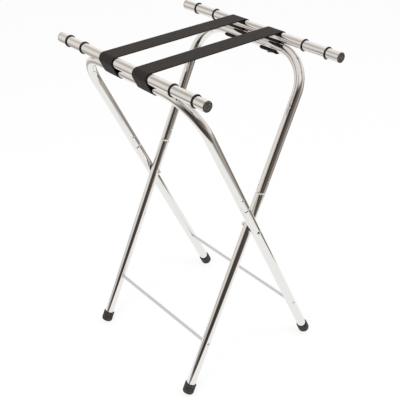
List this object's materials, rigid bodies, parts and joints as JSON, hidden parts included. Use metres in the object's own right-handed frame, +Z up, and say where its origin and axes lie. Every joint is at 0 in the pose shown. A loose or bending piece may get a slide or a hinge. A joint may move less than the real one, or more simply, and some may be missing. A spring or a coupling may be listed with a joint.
{
  "type": "folding tray stand",
  "caption": "Folding stand that holds a serving tray: crossed chrome tube frames with a rail on each, hinged at the crossing legs and held open by woven straps.",
  "frame": {"origin": "centre of the stand's footprint on the floor, open", "axes": "+Z up, +Y along the rails from the front end to the back end, +X across from the outer frame's rail to the inner frame's rail"},
  "size_m": [0.3994, 0.5028, 0.787],
  "materials": {
    "chrome": "bright chrome plate on polished drawn steel",
    "webbing": "satin woven polypropylene webbing, dark charcoal",
    "grip_rubber": "black moulded rubber, satin",
    "foot_rubber": "dark grey moulded rubber, matte",
    "black_plastic": "black moulded polyethylene, fine matte grain",
    "zinc_steel": "zinc plated steel"
  },
  "bodies": {
    "outer_frame": {"outer_bow": "chrome", "outer_leg_front": "chrome", "outer_leg_back": "chrome", "outer_rail": "chrome", "outer_rail_plug_front": "black_plastic", "outer_rail_plug_back": "black_plastic", "outer_ring_1": "grip_rubber", "outer_ring_2": "grip_rubber", "outer_ring_3": "grip_rubber", "outer_ring_4": "grip_rubber", "outer_rail_saddles": "black_plastic", "outer_rail_screws": "chrome", "outer_screw_washers": "chrome", "outer_rail_nuts": "zinc_steel", "outer_leg_rivets": "chrome", "outer_stretcher": "chrome", "outer_foot_front": "foot_rubber", "outer_foot_back": "foot_rubber", "outer_strap_end_front": "webbing", "outer_strap_end_back": "webbing", "pivot_bolts": "chrome", "pivot_spacers": "black_plastic", "pivot_nuts": "chrome", "strap_span_front": "webbing", "strap_span_back": "webbing"},
    "inner_frame": {"inner_bow": "chrome", "inner_leg_front": "chrome", "inner_leg_back": "chrome", "inner_rail": "chrome", "inner_rail_plug_front": "black_plastic", "inner_rail_plug_back": "black_plastic", "inner_ring_1": "grip_rubber", "inner_ring_2": "grip_rubber", "inner_ring_3": "grip_rubber", "inner_ring_4": "grip_rubber", "inner_rail_saddles": "black_plastic", "inner_rail_screws": "chrome", "inner_screw_washers": "chrome", "inner_rail_nuts": "zinc_steel", "inner_leg_rivets": "chrome", "inner_stretcher": "chrome", "inner_foot_front": "foot_rubber", "inner_foot_back": "foot_rubber", "inner_strap_end_front": "webbing", "inner_strap_end_back": "webbing"}
  },
  "joints": [
    {"name": "fold", "type": "hinge", "parent": "outer_frame", "child": "inner_frame", "pos_m": [0, 0, 0.39832], "axis": [0, -1, 0], "range_deg": [0, 46], "deforming": ["strap_span_front", "strap_span_back"]}
  ]
}
